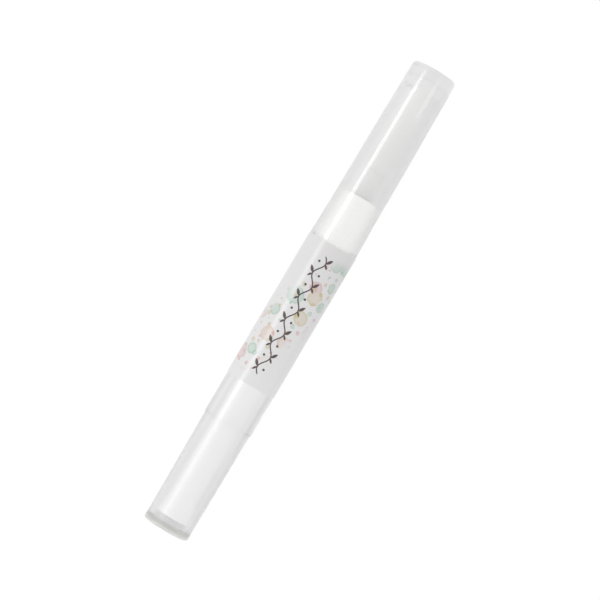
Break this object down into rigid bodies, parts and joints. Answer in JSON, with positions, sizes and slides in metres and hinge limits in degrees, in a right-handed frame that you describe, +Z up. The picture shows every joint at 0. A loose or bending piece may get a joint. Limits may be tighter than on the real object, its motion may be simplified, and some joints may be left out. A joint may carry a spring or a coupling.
{
  "type": "nail polish pen",
  "caption": "Slim twist-up brush pen for nail colour: translucent pull-off cap, brush tip, film-wrapped clear barrel and a clear turning knob that drives a screw and piston.",
  "frame": {"origin": "on the surface the pen lies on, under the middle of its length", "axes": "+X along the pen from the twist knob towards the cap's end, +Z up, +Y to the left when looking along +X"},
  "size_m": [0.1302, 0.0132, 0.013],
  "materials": {
    "clear_plastic": "clear, polished",
    "cap_plastic": "translucent, slightly milky, glossy",
    "natural_plastic": "uncoloured, satin",
    "white_plastic": "satin white",
    "label_film": "satin printed film",
    "bristle": "fine pale filaments",
    "tube_steel": "drawn tube",
    "gasket_rubber": "soft matt"
  },
  "bodies": {
    "barrel": {"barrel": "clear_plastic", "label": "label_film", "thread_nut": "white_plastic", "front_collar": "white_plastic", "flow_plug": "natural_plastic", "feed_tube": "tube_steel", "nozzle": "natural_plastic", "nozzle_gasket": "gasket_rubber", "bristle_tuft": "bristle"},
    "cap": {"cap": "cap_plastic", "cap_liner": "natural_plastic"},
    "knob": {"knob_shell": "clear_plastic", "end_plug": "clear_plastic", "drive_sleeve": "white_plastic", "click_ring": "white_plastic"},
    "screw": {"lead_screw": "white_plastic"},
    "piston": {"piston": "natural_plastic"}
  },
  "joints": [
    {"name": "cap_pull", "type": "slide", "parent": "barrel", "child": "cap", "axis": [1, 0, 0], "range_m": [0, 0.06]},
    {"name": "knob_turn", "type": "hinge", "parent": "barrel", "child": "knob", "pos_m": [-0.04, 0, 0.00647], "axis": [1, 0, 0], "range_deg": [0, 2340]},
    {"name": "screw_feed", "type": "slide", "parent": "knob", "child": "screw", "axis": [1, 0, 0], "range_m": [0, 0.0196]},
    {"name": "piston_feed", "type": "slide", "parent": "barrel", "child": "piston", "axis": [1, 0, 0], "range_m": [0, 0.0196]}
  ],
  "couplings": [
    {"joint": "screw_feed", "follows": "knob_turn", "m_per_rad": 0.00047746},
    {"joint": "piston_feed", "follows": "knob_turn", "m_per_rad": 0.00047746}
  ]
}
